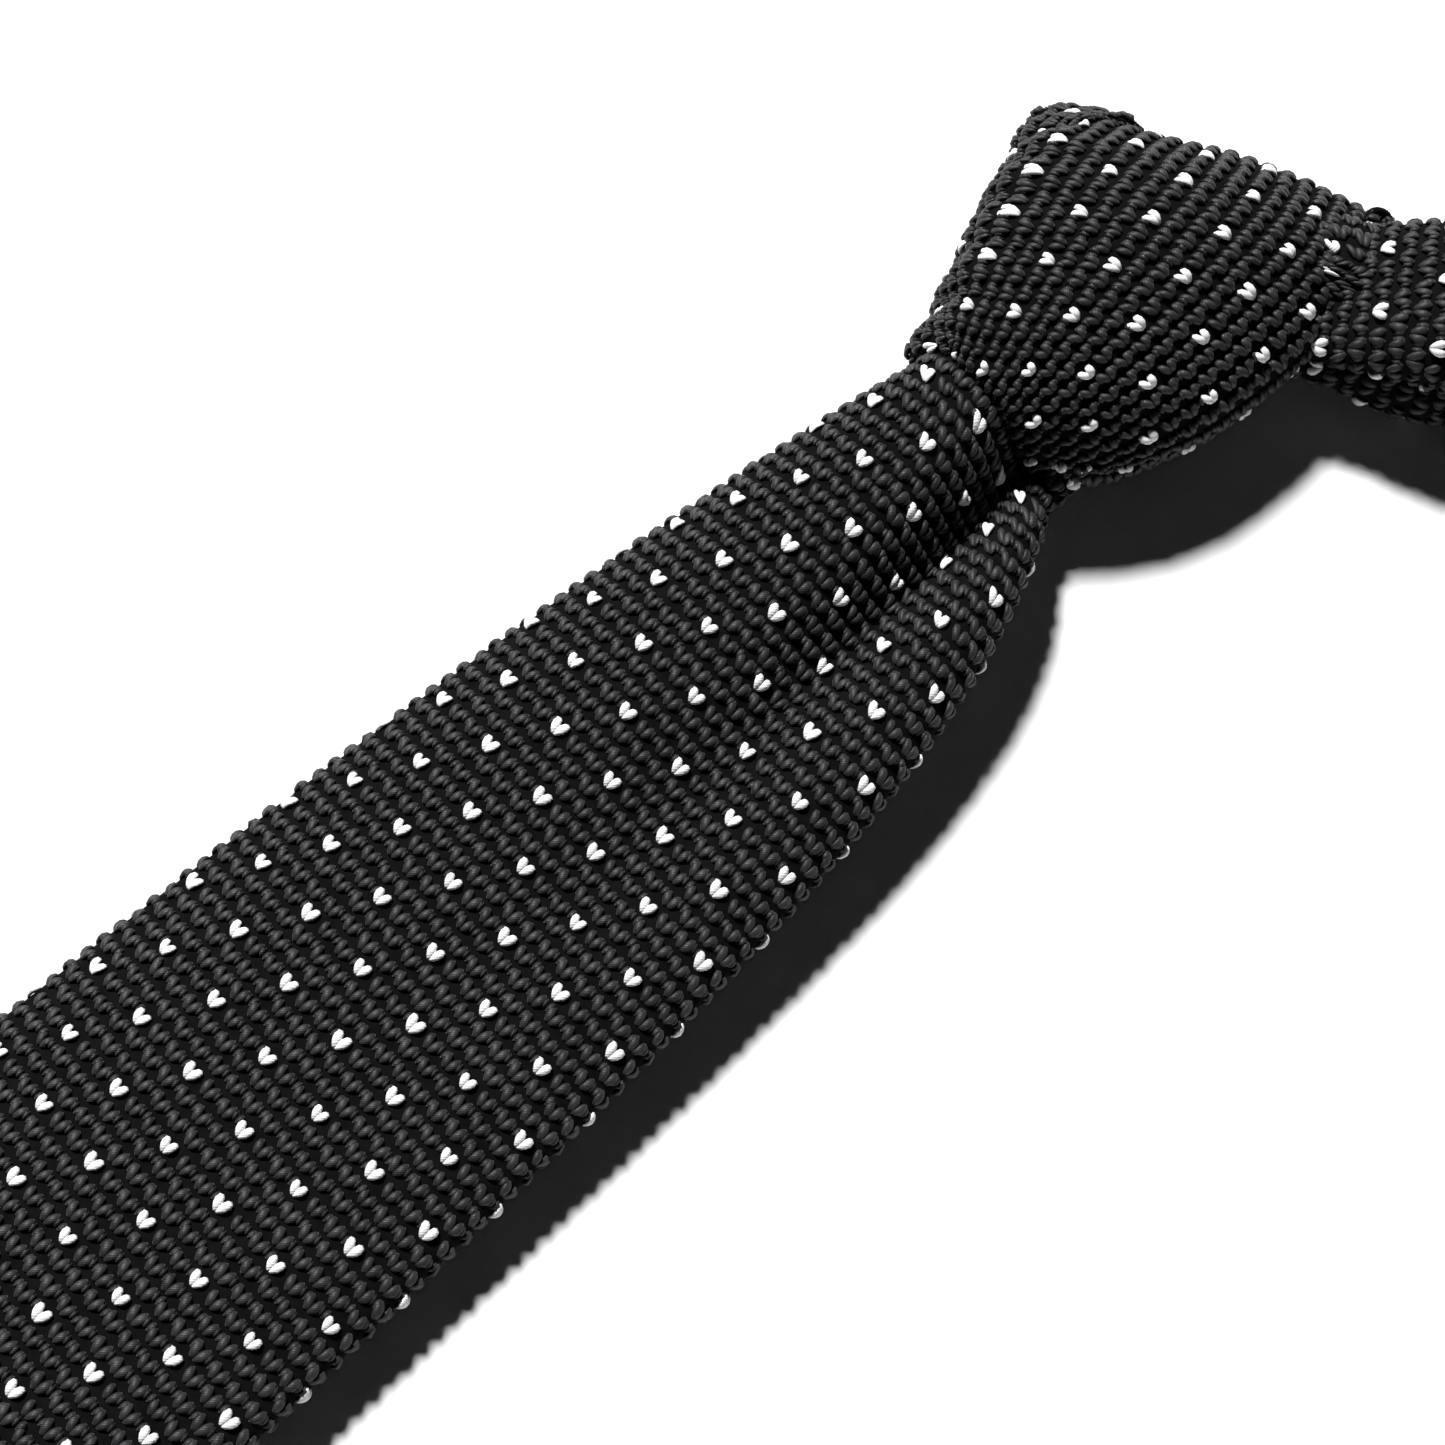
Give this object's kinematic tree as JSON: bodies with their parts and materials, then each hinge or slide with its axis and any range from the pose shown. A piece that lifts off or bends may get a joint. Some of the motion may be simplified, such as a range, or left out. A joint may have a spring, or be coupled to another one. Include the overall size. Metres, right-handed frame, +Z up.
{
  "type": "knitted necktie",
  "caption": "Knitted necktie tied in a four-in-hand knot, with a front blade that lifts, a tail held by a keeper loop and a neck loop that tightens and folds.",
  "frame": {"origin": "middle of the knot's flat back face, the face the tie rests on", "axes": "+Z up from the resting face towards the front of the tie, -Y down the front blade to its square end, +X to the side the neck loop lies on"},
  "size_m": [0.2062, 0.6201, 0.0274],
  "materials": {
    "black_knit": "tuck-stitch knit with small raised white V stitches",
    "white_yarn": "white yarn of the V stitches knitted into the black",
    "black_tape": "flat woven tape",
    "black_thread": "sewing thread",
    "label_satin": "blank satin label"
  },
  "bodies": {
    "knot": {"knot_back_pass": "black_knit", "knot_first_pass": "black_knit", "knot_tail_strand": "black_knit", "knot_final_pass": "black_knit", "knot_front_wrap": "black_knit"},
    "front_blade": {"front_blade": "black_knit", "front_blade_hem": "black_knit", "front_blade_seam": "black_thread", "front_blade_bar_tack": "black_thread", "keeper_loop": "black_tape", "keeper_loop_tacks": "black_thread", "care_label": "label_satin", "care_label_stitches": "black_thread"},
    "tail": {"tail_blade": "black_knit", "tail_hem": "black_knit", "tail_seam": "black_thread", "tail_bar_tack": "black_thread"},
    "arm_ends": {"blade_side_arm_end": "black_knit", "tail_side_arm_end": "black_knit"},
    "neck_loop": {"blade_side_arm": "black_knit", "collar_band": "black_knit", "tail_side_arm": "black_knit", "collar_stay_tape": "black_tape", "blade_side_join_seam": "black_thread", "tail_side_join_seam": "black_thread"}
  },
  "joints": [
    {"name": "blade_lift", "type": "hinge", "parent": "knot", "child": "front_blade", "pos_m": [0, -0.0303, 0.022], "axis": [-1, 0, 0], "range_deg": [0, 90]},
    {"name": "tail_pull", "type": "slide", "parent": "front_blade", "child": "tail", "axis": [0, -1, 0], "range_m": [0, 0.02]},
    {"name": "loop_tighten", "type": "slide", "parent": "knot", "child": "arm_ends", "axis": [-0.829, -0.5592, 0], "range_m": [0, 0.01]},
    {"name": "loop_fold", "type": "hinge", "parent": "arm_ends", "child": "neck_loop", "pos_m": [0.03663, 0.02697, 0.0245], "axis": [0.5592, -0.829, 0], "range_deg": [0, 90]}
  ],
  "couplings": [
    {"joint": "tail_pull", "follows": "loop_tighten", "ratio": 2}
  ]
}
